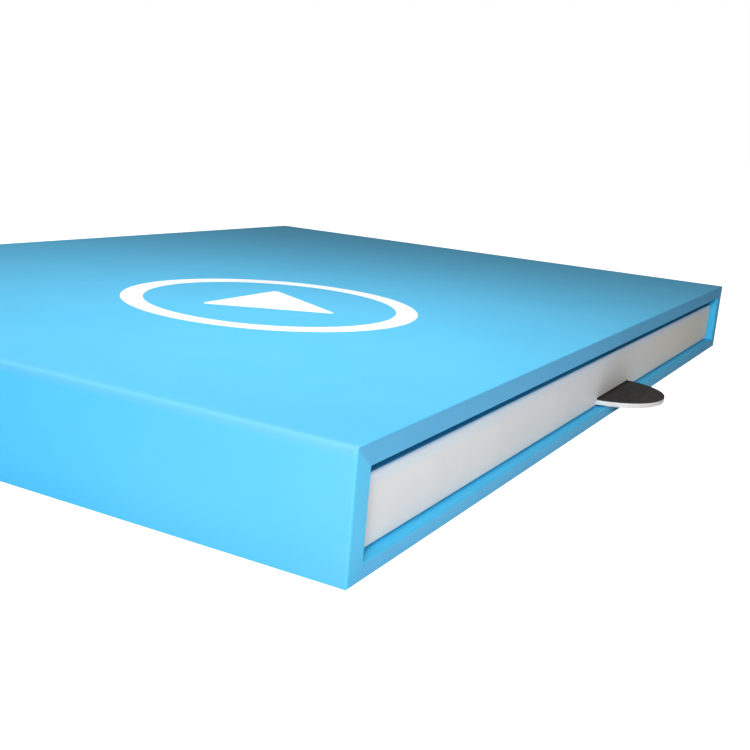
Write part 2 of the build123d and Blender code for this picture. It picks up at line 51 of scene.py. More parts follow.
# ==================================================================== Camera
# A 51 mm lens close to the sleeve's near corner, a hand's breadth above the table and held slightly tilted.

CAMERA_PLACE = Vector((-211.6, -132.0, 53.6)) * MM
CAMERA_DIRECTION = Vector((0.8637, 0.4511, -0.2247))
CAMERA_ROLL = radians(4.95)

camera_data = bpy.data.cameras.new("camera")
camera_data.lens = 50.53
camera_data.sensor_width = 36.0
camera_data.clip_start = 5 * MM
camera = bpy.data.objects.new("camera", camera_data)
bpy.context.scene.collection.objects.link(camera)
level_view = CAMERA_DIRECTION.to_track_quat("-Z", "Y")
camera.rotation_mode = "QUATERNION"
camera.rotation_quaternion = level_view @ Quaternion((0, 0, 1), CAMERA_ROLL)
camera.location = CAMERA_PLACE
bpy.context.scene.camera = camera


# ==================================================================== Table and light
# A plain pale table in an even white room. A low key lamp stands off the sleeve's near corner, a small lamp
# hangs over the cover, and a wide dim one lights the far side.

# Seen straight on the table is nearly white, and so is the room; they throw less than that on the object.
TABLE_BOUNCE = 0.68
TABLE_SEEN = 0.9
ROOM_BOUNCE = 0.15
ROOM_SEEN = 1.0


def linear(code):
    """The linear colour of an sRGB hex code."""
    channels = [int(code[start : start + 2], 16) / 255 for start in (0, 2, 4)]
    straight = [c / 12.92 if c <= 0.04045 else ((c + 0.055) / 1.055) ** 2.4 for c in channels]
    return (*straight, 1.0)


def add_node(tree, kind, settings, links=()):
    """Add a node with its properties, inputs or ramp shades, and (input, node, output) links into it."""
    fresh = tree.nodes.new(kind)
    for name, value in settings.items():
        if name == "shades":
            ramp = fresh.color_ramp.elements
            while len(ramp) < len(value):
                ramp.new(1.0)
            for element, (position, code) in zip(ramp, value):
                element.position = position
                element.color = linear(code)
        elif isinstance(name, str) and hasattr(fresh, name):
            setattr(fresh, name, value)
        else:
            fresh.inputs[name].default_value = value
    for name, source, output in links:
        tree.links.new(source.outputs[output], fresh.inputs[name])
    return fresh


def new_material(name, **settings):
    """A material with its Principled shader's sockets set; returns the material, its tree and the shader."""
    material = bpy.data.materials.new(name)
    material.use_nodes = True
    tree = material.node_tree
    shader = tree.nodes["Principled BSDF"]
    for socket, value in settings.items():
        shader.inputs[socket.replace("_", " ")].default_value = value
    return material, tree, shader


def dress(piece, material):
    """Give a piece one material all over."""
    piece.data.materials.clear()
    piece.data.materials.append(material)


bpy.ops.object.select_all(action="DESELECT")
bpy.ops.mesh.primitive_plane_add(size=60.0)
table = bpy.context.object
table.name = "table"
table_paint, tree, shader = new_material("white_table", Roughness=0.9)
shader.inputs["Emission Color"].default_value = linear("FFFFFF")
seen_straight = add_node(tree, "ShaderNodeLightPath", {})
tree.links.new(seen_straight.outputs["Is Camera Ray"], shader.inputs["Emission Strength"])
table_shade = add_node(
    tree,
    "ShaderNodeMapRange",
    {"To Min": TABLE_BOUNCE, "To Max": TABLE_SEEN},
    [("Value", seen_straight, "Is Camera Ray")],
)
tree.links.new(table_shade.outputs["Result"], shader.inputs["Base Color"])
dress(table, table_paint)

room = bpy.data.worlds.new("room")
room.use_nodes = True
bpy.context.scene.world = room
backdrop = room.node_tree.nodes["Background"]
light_path = add_node(room.node_tree, "ShaderNodeLightPath", {})
room_level = add_node(
    room.node_tree,
    "ShaderNodeMapRange",
    {"To Min": ROOM_BOUNCE, "To Max": ROOM_SEEN},
    [("Value", light_path, "Is Camera Ray")],
)
backdrop.inputs["Color"].default_value = (1, 1, 1, 1)
room.node_tree.links.new(room_level.outputs["Result"], backdrop.inputs["Strength"])

# Each lamp: name, place, width and power, in metres and watts. All point at the same spot in the sleeve.
LAMP_TARGET = Vector((-0.06, -0.02, 0.009))
LAMPS = [
    ("key_lamp", (-0.381, -0.200, 0.177), 0.10, 1.32),
    ("cover_lamp", (-0.056, -0.036, 0.158), 0.05, 0.205),
    ("back_lamp", (0.60, 0.65, 0.06), 0.40, 1.5),
]
for lamp_name, place, size, power in LAMPS:
    lamp_data = bpy.data.lights.new(lamp_name, "AREA")
    lamp_data.size = size
    lamp_data.energy = power
    lamp = bpy.data.objects.new(lamp_name, lamp_data)
    lamp.location = place
    lamp.rotation_euler = (LAMP_TARGET - Vector(place)).to_track_quat("-Z", "Y").to_euler()
    lamp.visible_camera = False
    lamp.visible_glossy = lamp_name == "key_lamp"
    bpy.context.scene.collection.objects.link(lamp)

bpy.context.scene.view_settings.view_transform = "Standard"


# ==================================================================== Sleeve paper
# Sky-blue printed art paper with a matt film, glued round the greyboard walls. It folds over the mouth's
# edges and turns in along the cavity, so the board never shows. Its folds are drawn tight and softly round.

SIDE_FOLD = 0.8 * MM
TIGHT_FOLD = 0.4 * MM
MOUTH_FOLD = 0.2 * MM
FOOT_FOLD = 0.15 * MM
LIP_FOLD = 0.3 * MM
SLEEVE_PAPER = 0.25 * MM
LINER_PAPER = 0.25 * MM
SAME_PLACE = 0.01 * MM
SHARP_ANGLE = radians(35)


def start_block(name, low, high):
    """A cube primitive between two corners, with its place in its mesh."""
    bpy.ops.object.select_all(action="DESELECT")
    low, high = Vector(low), Vector(high)
    bpy.ops.mesh.primitive_cube_add(size=1.0, location=(low + high) / 2, scale=high - low)
    block = bpy.context.object
    block.name = name
    block.data.name = name
    bpy.ops.object.transform_apply(location=True, rotation=True, scale=True)
    return block


def cut_across(*cuts):
    """In edit mode, score the whole mesh with planes given as (point, normal)."""
    for point, normal in cuts:
        bpy.ops.mesh.select_all(action="SELECT")
        bpy.ops.mesh.bisect(plane_co=point, plane_no=normal)


def pick_faces(piece, wanted):
    """In edit mode, select only the faces whose centre and normal pass the test."""
    bpy.ops.mesh.select_mode(type="FACE")
    bpy.ops.mesh.select_all(action="DESELECT")
    shape = bmesh.from_edit_mesh(piece.data)
    for face in shape.faces:
        face.select_set(wanted(face.calc_center_median(), face.normal))
    bmesh.update_edit_mesh(piece.data)


def soften(piece, widest, share, segments=4):
    """Round off sharp edges: share(middle, direction) gives each edge's part of the widest radius."""
    weights = piece.data.attributes.new("bevel_weight_edge", "FLOAT", "EDGE")
    points = piece.data.vertices
    for edge in piece.data.edges:
        start, end = (points[i].co for i in edge.vertices)
        weights.data[edge.index].value = share((start + end) / 2, (end - start).normalized())
    bevel = piece.modifiers.new("soft_edges", "BEVEL")
    bevel.width = widest
    bevel.segments = segments
    bevel.limit_method = "WEIGHT"
    finish(piece)


def finish(piece):
    """Apply the piece's modifiers in order."""
    bpy.ops.object.select_all(action="DESELECT")
    bpy.context.view_layer.objects.active = piece
    piece.select_set(True)
    for modifier in list(piece.modifiers):
        bpy.ops.object.modifier_apply(modifier=modifier.name)


def smooth(piece):
    """Smooth shading on the folds while the flat faces stay flat."""
    finish(piece)
    bpy.ops.object.shade_smooth_by_angle(angle=SHARP_ANGLE)
    piece.modifiers.new("flat_faces", "WEIGHTED_NORMAL").keep_sharp = True
    finish(piece)


wrap_low, wrap_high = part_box("sleeve_wrap")
cavity_half = -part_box("sleeve_left_board")[1].x - LINER_PAPER
cavity_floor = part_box("sleeve_bottom_board")[1].z + LINER_PAPER
cavity_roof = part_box("sleeve_top_board")[0].z - LINER_PAPER
turn_in_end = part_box("sleeve_liner")[0].y

sleeve_paper = start_block("printed_sleeve_paper", wrap_low, wrap_high)
bpy.ops.object.mode_set(mode="EDIT")
cut_across(
    ((cavity_half, 0, 0), (1, 0, 0)),
    ((-cavity_half, 0, 0), (1, 0, 0)),
    ((0, 0, cavity_floor), (0, 0, 1)),
    ((0, 0, cavity_roof), (0, 0, 1)),
)
pick_faces(
    sleeve_paper,
    lambda c, n: n.y < -0.9 and abs(c.x) < cavity_half and cavity_floor < c.z < cavity_roof,
)
bpy.ops.mesh.extrude_region_move(TRANSFORM_OT_translate={"value": (0, turn_in_end - wrap_low.y, 0)})
bpy.ops.mesh.delete(type="FACE")
bpy.ops.object.mode_set(mode="OBJECT")


def sleeve_fold(middle, direction):
    """The folds over the side boards are wide, the other outer ones tight, and the mouth's tightest."""
    on_side = abs(abs(middle.x) - wrap_high.x) < SAME_PLACE
    on_end = abs(abs(middle.y) - wrap_high.y) < SAME_PLACE
    on_top = abs(middle.z - wrap_high.z) < SAME_PLACE
    at_foot = abs(middle.z - wrap_low.z) < SAME_PLACE
    if on_side and on_top:
        return 1.0
    if at_foot and (on_side or on_end):
        return FOOT_FOLD / SIDE_FOLD
    at_mouth = abs(middle.y - wrap_low.y) < SAME_PLACE
    if on_top and at_mouth:
        return MOUTH_FOLD / SIDE_FOLD
    if on_side + on_end + on_top >= 2:
        return TIGHT_FOLD / SIDE_FOLD
    beside_cavity = (
        abs(abs(middle.x) - cavity_half) < SAME_PLACE and cavity_floor <= middle.z <= cavity_roof
    ) or (
        min(abs(middle.z - cavity_floor), abs(middle.z - cavity_roof)) < SAME_PLACE
        and abs(middle.x) <= cavity_half
    )
    return LIP_FOLD / SIDE_FOLD if at_mouth and beside_cavity else 0.0


soften(sleeve_paper, SIDE_FOLD, sleeve_fold, segments=6)
thickness = sleeve_paper.modifiers.new("paper_thickness", "SOLIDIFY")
thickness.thickness = SLEEVE_PAPER
thickness.offset = -1
smooth(sleeve_paper)


def grainy_skin(tree, shader, dark, pale, cloud, grain, depth, dull, matt):
    """Cloud the colour between two shades and raise a fine grain, with sizes in mm and two roughnesses."""
    place = add_node(tree, "ShaderNodeTexCoord", {})
    clouds = add_node(
        tree,
        "ShaderNodeTexNoise",
        {"Scale": 1 / (cloud * MM), "Detail": 3.0},
        [("Vector", place, "Object")],
    )
    colour = add_node(
        tree,
        "ShaderNodeValToRGB",
        {"shades": [(0.35, dark), (0.65, pale)]},
        [("Fac", clouds, "Fac")],
    )
    grains = add_node(
        tree,
        "ShaderNodeTexNoise",
        {"Scale": 1 / (grain * MM), "Detail": 2.0},
        [("Vector", place, "Object")],
    )
    relief = add_node(tree, "ShaderNodeBump", {"Distance": depth * MM}, [("Height", grains, "Fac")])
    gloss = add_node(
        tree,
        "ShaderNodeMapRange",
        {"From Min": 0.3, "From Max": 0.7, "To Min": dull, "To Max": matt},
        [("Value", grains, "Fac")],
    )
    tree.links.new(colour.outputs["Color"], shader.inputs["Base Color"])
    tree.links.new(relief.outputs["Normal"], shader.inputs["Normal"])
    tree.links.new(gloss.outputs["Result"], shader.inputs["Roughness"])
    return place, colour


# A Mix node's sockets for colours: the second one's share, the first and second colour, and the mixture.
SHARE, FIRST, SECOND, MIXED = 0, 6, 7, 2

# Matt film over solid ink: an even, softly sheened blue. Along the side walls' top folds it is a shade paler,
# partly the whitening of stretched film and partly a painted highlight. Fingers hold the side walls near the
# mouth; away from it they are unrubbed and a deeper blue. The mouth's edges are a shade bluer, but paler
# along the floor, where fingers reach under the pull tab, and paler over the side walls' ends as far as the
# mitred corners, a painted light on those ends. Inside the cavity the blue is painted brighter, painted light
# that lifts the shade of the recess.
STRETCH_AND_HIGHLIGHT_REACH = 1.9 * MM
STRETCH_AND_HIGHLIGHT_SHARE = 0.3
SIDE_FULL = 0.3 * MM
SIDE_END = 0.9 * MM
RUBBED_REACH = 60 * MM
FACE_FULL = 0.02 * MM
FACE_END = 0.12 * MM
WALL_BLUR = 0.02
MITRE_BLUR = 0.12
CAVITY_LIGHT_START = 0.9
CAVITY_LIGHT_FULL = 0.98

blue_art_paper, tree, shader = new_material("blue_art_paper_matt_film", IOR=1.45)
place, ink = grainy_skin(tree, shader, "5ABEE8", "5EC0EA", 18.0, 0.5, 0.004, 0.46, 0.54)
apart = add_node(tree, "ShaderNodeSeparateXYZ", {}, [("Vector", place, "Object")])
width = add_node(tree, "ShaderNodeMath", {"operation": "ABSOLUTE"}, [(0, apart, "X")])
side_gap = add_node(tree, "ShaderNodeMath", {"operation": "SUBTRACT", 0: wrap_high.x}, [(1, width, 0)])
roof_gap = add_node(tree, "ShaderNodeMath", {"operation": "SUBTRACT", 0: wrap_high.z}, [(1, apart, "Z")])
floor_gap = add_node(tree, "ShaderNodeMath", {"operation": "SUBTRACT", 1: wrap_low.z}, [(0, apart, "Z")])
mouth_gap = add_node(tree, "ShaderNodeMath", {"operation": "SUBTRACT", 1: wrap_low.y}, [(0, apart, "Y")])
back_gap = add_node(tree, "ShaderNodeMath", {"operation": "SUBTRACT", 0: wrap_high.y}, [(1, apart, "Y")])

# A wall's depth runs from 0 at its outer face to 1 at the cavity.
side_depth, roof_depth, floor_depth, back_depth = (
    add_node(tree, "ShaderNodeMath", {"operation": "DIVIDE", 1: wall}, [(0, gap, 0)])
    for gap, wall in (
        (side_gap, wrap_high.x - cavity_half),
        (roof_gap, wrap_high.z - cavity_roof),
        (floor_gap, cavity_floor - wrap_low.z),
        (back_gap, wrap_high.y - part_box("sleeve_back_board")[0].y),
    )
)

# Each of these is 1 up to the first value and falls to 0 at the second.
on_side, on_wall, on_floor, on_face = (
    add_node(
        tree,
        "ShaderNodeMapRange",
        {"From Min": full, "From Max": end, "To Min": 1.0, "To Max": 0.0},
        [("Value", gap, 0)],
    )
    for gap, full, end in (
        (side_gap, SIDE_FULL, SIDE_END),
        (side_depth, 1.0, 1.0 + WALL_BLUR),
        (floor_depth, 1.0, 1.0 + WALL_BLUR),
        (mouth_gap, FACE_FULL, FACE_END),
    )
)
fold_gap = add_node(tree, "ShaderNodeMath", {"operation": "MAXIMUM"}, [(0, side_gap, 0), (1, roof_gap, 0)])
# Partly a painted highlight, partly the whitening of stretched film: the side walls' top folds are a shade
# paler.
stretch_and_painted_highlight = add_node(
    tree,
    "ShaderNodeMapRange",
    {"interpolation_type": "SMOOTHSTEP", "From Max": STRETCH_AND_HIGHLIGHT_REACH, "To Min": STRETCH_AND_HIGHLIGHT_SHARE, "To Max": 0.0},
    [("Value", fold_gap, 0)],
)
unrubbed = add_node(
    tree,
    "ShaderNodeMapRange",
    {"From Min": wrap_low.y, "From Max": wrap_low.y + RUBBED_REACH},
    [("Value", apart, "Y")],
)
deeper = add_node(tree, "ShaderNodeMath", {"operation": "MULTIPLY"}, [(0, on_side, 0), (1, unrubbed, 0)])
nearer = add_node(tree, "ShaderNodeMath", {"operation": "MINIMUM"}, [(0, roof_depth, 0), (1, floor_depth, 0)])
past_mitre = add_node(tree, "ShaderNodeMath", {"operation": "SUBTRACT"}, [(0, nearer, 0), (1, side_depth, 0)])
mitre = add_node(
    tree,
    "ShaderNodeMapRange",
    {"interpolation_type": "SMOOTHSTEP", "From Min": -MITRE_BLUR, "From Max": MITRE_BLUR},
    [("Value", past_mitre, 0)],
)
on_end = add_node(tree, "ShaderNodeMath", {"operation": "MULTIPLY"}, [(0, mitre, 0), (1, on_wall, 0)])
# Painted light: the side walls' ends at the mouth are paler, as far as the mitred corners.
painted_light_on_wall_ends = add_node(tree, "ShaderNodeMath", {"operation": "MULTIPLY"}, [(0, on_end, 0), (1, on_face, 0)])
worn = add_node(tree, "ShaderNodeMath", {"operation": "MULTIPLY"}, [(0, on_floor, 0), (1, on_face, 0)])
inner = add_node(tree, "ShaderNodeMath", {"operation": "MINIMUM"}, [(0, side_depth, 0), (1, back_depth, 0)])
indoors = add_node(tree, "ShaderNodeMath", {"operation": "MINIMUM"}, [(0, nearer, 0), (1, inner, 0)])
# Painted light: inside the cavity the blue is brighter, lifting the shade of the recess.
painted_cavity_light = add_node(
    tree,
    "ShaderNodeMapRange",
    {"From Min": CAVITY_LIGHT_START, "From Max": CAVITY_LIGHT_FULL},
    [("Value", indoors, 0)],
)

# Each ink covers the ones before it as far as its share says.
INKS = [
    ("49BEF2", deeper),
    # Partly a painted highlight, partly stretched film, on the side walls' top folds.
    ("92BEE6", stretch_and_painted_highlight),
    ("59BCEF", on_face),
    ("62C9FC", worn),
    # Painted light on the side walls' ends at the mouth.
    ("58D0FF", painted_light_on_wall_ends),
    # Painted light inside the cavity.
    ("42CBFF", painted_cavity_light),
]
ink_socket = "Color"
for code, ink_share in INKS:
    ink = add_node(
        tree,
        "ShaderNodeMix",
        {"data_type": "RGBA", SECOND: linear(code)},
        [(SHARE, ink_share, 0), (FIRST, ink, ink_socket)],
    )
    ink_socket = MIXED
tree.links.new(ink.outputs[MIXED], shader.inputs["Base Color"])
dress(sleeve_paper, blue_art_paper)
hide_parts("sleeve_wrap")
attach(sleeve_paper, "sleeve")


# ==================================================================== Cover symbol
# A plain ring round a triangle that points to the reader's right, in white ink screened onto the film.
# The ink stands a hundredth of a millimetre or two above the paper.

SYMBOL_PLACE = Vector((-34, -14)) * MM
RING_RADIUS = 30 * MM
RING_STROKE = 4.4 * MM
ARROW_RADIUS = 15.5 * MM
ARROW_CORNER = 1.6 * MM
INK_FILM = 0.02 * MM
INK_SINK = 0.01 * MM


def start_disc(name, place, radius, sides, turn=0.0):
    """A flat filled circle, or a regular shape with few sides, with its place in its mesh."""
    bpy.ops.object.select_all(action="DESELECT")
    bpy.ops.mesh.primitive_circle_add(
        vertices=sides, radius=radius, fill_type="NGON", location=place, rotation=(0, 0, turn)
    )
    disc = bpy.context.object
    disc.name = name
    disc.data.name = name
    bpy.ops.object.transform_apply(location=True, rotation=True, scale=True)
    return disc


def thicken(piece, rise):
    """Draw a flat piece up into a closed solid."""
    bpy.ops.object.mode_set(mode="EDIT")
    bpy.ops.mesh.select_all(action="SELECT")
    bpy.ops.mesh.extrude_region_move(TRANSFORM_OT_translate={"value": (0, 0, rise)})
    bpy.ops.mesh.select_all(action="SELECT")
    bpy.ops.mesh.normals_make_consistent(inside=False)
    bpy.ops.object.mode_set(mode="OBJECT")


def weld(name, pieces):
    """Join pieces into the first one, under one name."""
    bpy.ops.object.select_all(action="DESELECT")
    for piece in pieces:
        piece.select_set(True)
    bpy.context.view_layer.objects.active = pieces[0]
    if len(pieces) > 1:
        bpy.ops.object.join()
    pieces[0].name = name
    pieces[0].data.name = name
    return pieces[0]


ink_foot = wrap_high.z - INK_SINK
ring = start_disc("ring", (*SYMBOL_PLACE, ink_foot), RING_RADIUS, 128)
bpy.ops.object.mode_set(mode="EDIT")
bpy.ops.mesh.select_all(action="SELECT")
bpy.ops.mesh.inset(thickness=RING_STROKE)
bpy.ops.mesh.delete(type="FACE")
bpy.ops.object.mode_set(mode="OBJECT")
thicken(ring, INK_FILM + INK_SINK)

arrow = start_disc("arrow", (*SYMBOL_PLACE, ink_foot), ARROW_RADIUS, 3, turn=radians(180))
bpy.ops.object.mode_set(mode="EDIT")
bpy.ops.mesh.select_all(action="SELECT")
bpy.ops.mesh.bevel(offset=ARROW_CORNER, segments=6, affect="VERTICES")
bpy.ops.object.mode_set(mode="OBJECT")
thicken(arrow, INK_FILM + INK_SINK)
symbol = weld("cover_play_symbol", [ring, arrow])

# Screened ink lies thick and dull, so the white is flat, with a faint mesh-like unevenness.
white_screen_ink, tree, shader = new_material("white_screen_ink", IOR=1.5)
grainy_skin(tree, shader, "F4F7F8", "FCFDFD", 6.0, 0.35, 0.003, 0.5, 0.6)
dress(symbol, white_screen_ink)
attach(symbol, "sleeve")


# ==================================================================== Sleeve boards and linings
# Raw greyboard walls, butted and glued; plain blue paper lining the cavity behind the turned-in print; a
# blue sheet pasted under the sleeve; and a nickel-plated disc magnet let into the floor board.


def dress_nodes(material, *nodes):
    """Give CAD nodes one material."""
    for node in nodes:
        dress(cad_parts[node], material)


# Greyboard is pulped waste paper: dull warm grey, with pale fibres and dark flecks a millimetre across.
FLECK_PITCH = 1.4 * MM
greyboard, tree, shader = new_material("raw_greyboard", IOR=1.45)
place, pulp = grainy_skin(tree, shader, "8E897F", "A39D92", 3.0, 0.25, 0.03, 0.8, 0.95)
flecks = add_node(tree, "ShaderNodeTexVoronoi", {"Scale": 1 / FLECK_PITCH}, [("Vector", place, "Object")])
fleck = add_node(
    tree,
    "ShaderNodeMapRange",
    {"From Min": 0.06, "From Max": 0.16, "To Min": 0.6, "To Max": 0.0},
    [("Value", flecks, "Distance")],
)
flecked = add_node(
    tree,
    "ShaderNodeMix",
    {"data_type": "RGBA", SECOND: linear("55524C")},
    [(SHARE, fleck, "Result"), (FIRST, pulp, "Color")],
)
tree.links.new(flecked.outputs[MIXED], shader.inputs["Base Color"])
dress_nodes(greyboard, *(f"sleeve_{wall}_board" for wall in ("bottom", "top", "left", "right", "back")))

# Uncoated dyed paper: the print's blue, a little duller, with a soft fibre grain and no sheen.
blue_dyed_paper, tree, shader = new_material("blue_dyed_uncoated_paper", IOR=1.4)
grainy_skin(tree, shader, "54B6E1", "59BCE6", 7.0, 0.3, 0.012, 0.72, 0.85)
dress_nodes(blue_dyed_paper, "sleeve_liner", "sleeve_base_sheet")

# Nickel plate on sintered neodymium: a bright, faintly warm mirror dulled by fine tumbling marks.
nickel_plate, tree, shader = new_material("tumbled_nickel_plate", Metallic=1.0)
grainy_skin(tree, shader, "C9C5BC", "D8D4CB", 2.0, 0.15, 0.004, 0.22, 0.38)
dress_nodes(nickel_plate, "sleeve_magnet")


# ==================================================================== Tray paper
# Smooth white coated paper glued round the tray's board walls, over the rim and a little way down inside it.
# It is slit at the foot of the front for the pull tab, and cut out in the left wall for the USB socket.

TRAY_PAPER = 0.15 * MM
TRAY_TURN_IN = 2.8 * MM
RIM_ROUND = 0.5 * MM
CORNER_SHARE = 0.5
FOOT_SHARE = 0.4
LIP_SHARE = 0.35
TAB_SLOT_GAP = 0.1 * MM
TAB_SLOT_RISE = 0.35 * MM
SOCKET_GAP = 0.3 * MM
CUT_REACH = 4 * MM


def cut_out(piece, *cutters):
    """Cut closed shapes out of a piece, then throw them away."""
    for cutter in cutters:
        cut = piece.modifiers.new("cut", "BOOLEAN")
        cut.object = cutter
        cut.solver = "EXACT"
    finish(piece)
    for cutter in cutters:
        bpy.data.objects.remove(cutter)


tray_low, tray_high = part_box("tray_wrap")
rim_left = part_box("tray_left_board")[1].x + TRAY_PAPER
rim_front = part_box("tray_front_board")[1].y + TRAY_PAPER
rim_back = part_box("tray_back_board")[0].y - TRAY_PAPER

tray_paper = start_block("white_tray_paper", tray_low, tray_high)
bpy.ops.object.mode_set(mode="EDIT")
cut_across(
    ((rim_left, 0, 0), (1, 0, 0)),
    ((-rim_left, 0, 0), (1, 0, 0)),
    ((0, rim_front, 0), (0, 1, 0)),
    ((0, rim_back, 0), (0, 1, 0)),
)
pick_faces(
    tray_paper,
    lambda c, n: n.z > 0.9 and abs(c.x) < -rim_left and rim_front < c.y < rim_back,
)
bpy.ops.mesh.extrude_region_move(TRANSFORM_OT_translate={"value": (0, 0, -TRAY_TURN_IN)})
bpy.ops.mesh.delete(type="FACE")
bpy.ops.object.mode_set(mode="OBJECT")


def tray_fold(middle, direction):
    """The rim's outer edge is the roundest, then the corners, the rim's inner edge and the foot."""
    at_rim = abs(middle.z - tray_high.z) < SAME_PLACE
    on_side = abs(abs(middle.x) - tray_high.x) < SAME_PLACE
    on_end = min(abs(middle.y - tray_low.y), abs(middle.y - tray_high.y)) < SAME_PLACE
    if at_rim and (on_side or on_end):
        return 1.0
    if on_side and on_end:
        return CORNER_SHARE
    if abs(middle.z - tray_low.z) < SAME_PLACE and (on_side or on_end):
        return FOOT_SHARE
    beside_deck = (
        abs(abs(middle.x) + rim_left) < SAME_PLACE and rim_front <= middle.y <= rim_back
    ) or (
        min(abs(middle.y - rim_front), abs(middle.y - rim_back)) < SAME_PLACE
        and abs(middle.x) <= -rim_left
    )
    return LIP_SHARE if at_rim and beside_deck else 0.0


soften(tray_paper, RIM_ROUND, tray_fold, segments=6)
thickness = tray_paper.modifiers.new("paper_thickness", "SOLIDIFY")
thickness.thickness = TRAY_PAPER
thickness.offset = -1
finish(tray_paper)

card_low, card_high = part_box("pull_tab_card")
facing_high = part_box("pull_tab_facing")[1]
slot_gap = Vector((TAB_SLOT_GAP, 0, 0))
slot_sink = Vector((0, 0, 2 * SAME_PLACE))
tab_slot = start_block(
    "tab_slot",
    Vector((card_low.x, tray_low.y - CUT_REACH, card_low.z)) - slot_gap - slot_sink,
    Vector((card_high.x, tray_low.y + CUT_REACH, facing_high.z + TAB_SLOT_RISE)) + slot_gap,
)
socket_low, socket_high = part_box("usb_shell")
socket_gap = Vector((CUT_REACH, SOCKET_GAP, SOCKET_GAP))
socket_hole = start_block("socket_hole", socket_low - socket_gap, socket_high + socket_gap)
hole_round = (socket_high.z - socket_low.z) / 2 + SOCKET_GAP - SAME_PLACE
soften(socket_hole, hole_round, lambda middle, direction: abs(direction.x) > 0.9, segments=12)
cut_out(tray_paper, tab_slot, socket_hole)
smooth(tray_paper)

# Clay-coated white paper: nearly flat white with a slight sheen, softly clouded where the glue has dried.
white_coated_paper, tree, shader = new_material("white_coated_paper", IOR=1.45)
grainy_skin(tree, shader, "F4F3F1", "F9F8F6", 9.0, 0.4, 0.004, 0.46, 0.56)
dress_nodes(white_coated_paper, "tray_base_sheet")

# The same paper printed a deeper blue from the rim's fold inwards, so that the rim frames the deck. The same
# blue from the foot's fold on under the tray is a painted shadow, for the dark line where the tray meets the
# floor. A faint blue below the rim is a painted reflection of the blue lip above it, and the white turning
# cream towards the page's top is a painted warm reflection.
PRINT_START = 0.15 * MM
PRINT_FULL = 0.3 * MM
PRINT_DEPTH = 1.2 * TRAY_TURN_IN
FOOT_SHADOW_START = 0.16 * MM
FOOT_SHADOW_FULL = 0.04 * MM
BLUE_BOUNCE_FULL = 0.2 * MM
BLUE_BOUNCE_END = 2.8 * MM
WARM_REFLECTION_FULL = 70 * MM
WARM_REFLECTION_SHARE = 0.8
printed_paper, tree, shader = new_material("white_coated_paper_blue_printed_rim", IOR=1.45)
place, shade = grainy_skin(tree, shader, "F1F0EF", "F5F4F3", 9.0, 0.4, 0.004, 0.46, 0.56)
centred = add_node(
    tree,
    "ShaderNodeVectorMath",
    {"operation": "SUBTRACT", 1: (tray_low + tray_high) / 2},
    [(0, place, "Object")],
)
spread = add_node(tree, "ShaderNodeVectorMath", {"operation": "ABSOLUTE"}, [(0, centred, "Vector")])
from_edge = add_node(
    tree,
    "ShaderNodeVectorMath",
    {"operation": "SUBTRACT", 0: (tray_high - tray_low) / 2},
    [(1, spread, "Vector")],
)
edge_gaps = add_node(tree, "ShaderNodeSeparateXYZ", {}, [("Vector", from_edge, "Vector")])
inward = add_node(
    tree,
    "ShaderNodeMath",
    {"operation": "MINIMUM"},
    [(0, edge_gaps, "X"), (1, edge_gaps, "Y")],
)
ink_reach = add_node(
    tree,
    "ShaderNodeMapRange",
    {"From Min": PRINT_START, "From Max": PRINT_FULL},
    [("Value", inward, 0)],
)
height = add_node(tree, "ShaderNodeSeparateXYZ", {}, [("Vector", place, "Object")])
near_rim = add_node(
    tree,
    "ShaderNodeMath",
    {"operation": "GREATER_THAN", 1: tray_high.z - PRINT_DEPTH},
    [(0, height, "Z")],
)
on_rim = add_node(tree, "ShaderNodeMath", {"operation": "MULTIPLY"}, [(0, ink_reach, 0), (1, near_rim, 0)])
# Painted shadow: the rim's blue from the foot's fold on stands for the dark line where the tray meets the
# floor.
at_foot = add_node(
    tree,
    "ShaderNodeMapRange",
    {
        "From Min": tray_low.z + FOOT_SHADOW_FULL,
        "From Max": tray_low.z + FOOT_SHADOW_START,
        "To Min": 1.0,
        "To Max": 0.0,
    },
    [("Value", height, "Z")],
)
rim_print_and_foot_shadow = add_node(tree, "ShaderNodeMath", {"operation": "MAXIMUM"}, [(0, on_rim, 0), (1, at_foot, 0)])
below_rim = add_node(tree, "ShaderNodeMath", {"operation": "SUBTRACT", 0: tray_high.z}, [(1, height, "Z")])
# Painted reflection: a faint blue below the rim, the blue lip's light thrown onto the white.
painted_blue_bounce = add_node(
    tree,
    "ShaderNodeMapRange",
    {
        "interpolation_type": "SMOOTHSTEP",
        "From Min": BLUE_BOUNCE_FULL,
        "From Max": BLUE_BOUNCE_END,
        "To Min": 1.0,
        "To Max": 0.0,
    },
    [("Value", below_rim, 0)],
)
# Painted warm reflection: the white turns cream towards the page's top.
painted_warm_reflection = add_node(
    tree,
    "ShaderNodeMapRange",
    {"interpolation_type": "SMOOTHSTEP", "From Max": WARM_REFLECTION_FULL, "To Max": WARM_REFLECTION_SHARE},
    [("Value", height, "X")],
)
shade_socket = "Color"
for code, shade_share in (("FBF3E2", painted_warm_reflection), ("ECF6FF", painted_blue_bounce), ("479AC0", rim_print_and_foot_shadow)):
    shade = add_node(
        tree,
        "ShaderNodeMix",
        {"data_type": "RGBA", SECOND: linear(code)},
        [(SHARE, shade_share, 0), (FIRST, shade, shade_socket)],
    )
    shade_socket = MIXED
tree.links.new(shade.outputs[MIXED], shader.inputs["Base Color"])
dress(tray_paper, printed_paper)
dress_nodes(greyboard, *(f"tray_{wall}_board" for wall in ("base", "front", "back", "left", "right")))
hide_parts("tray_wrap")
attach(tray_paper, "tray")


# ==================================================================== Pull tab
# A disc of white card on a tongue glued under the tray's floor, faced on top with dark brown-black paper.
# Its outer half-moon shows in front of the tray, with the card's white cut edge under the dark facing.

CARD_BURR = 0.06 * MM
FACING_BURR = 0.04 * MM
TAB_SIDES = 160


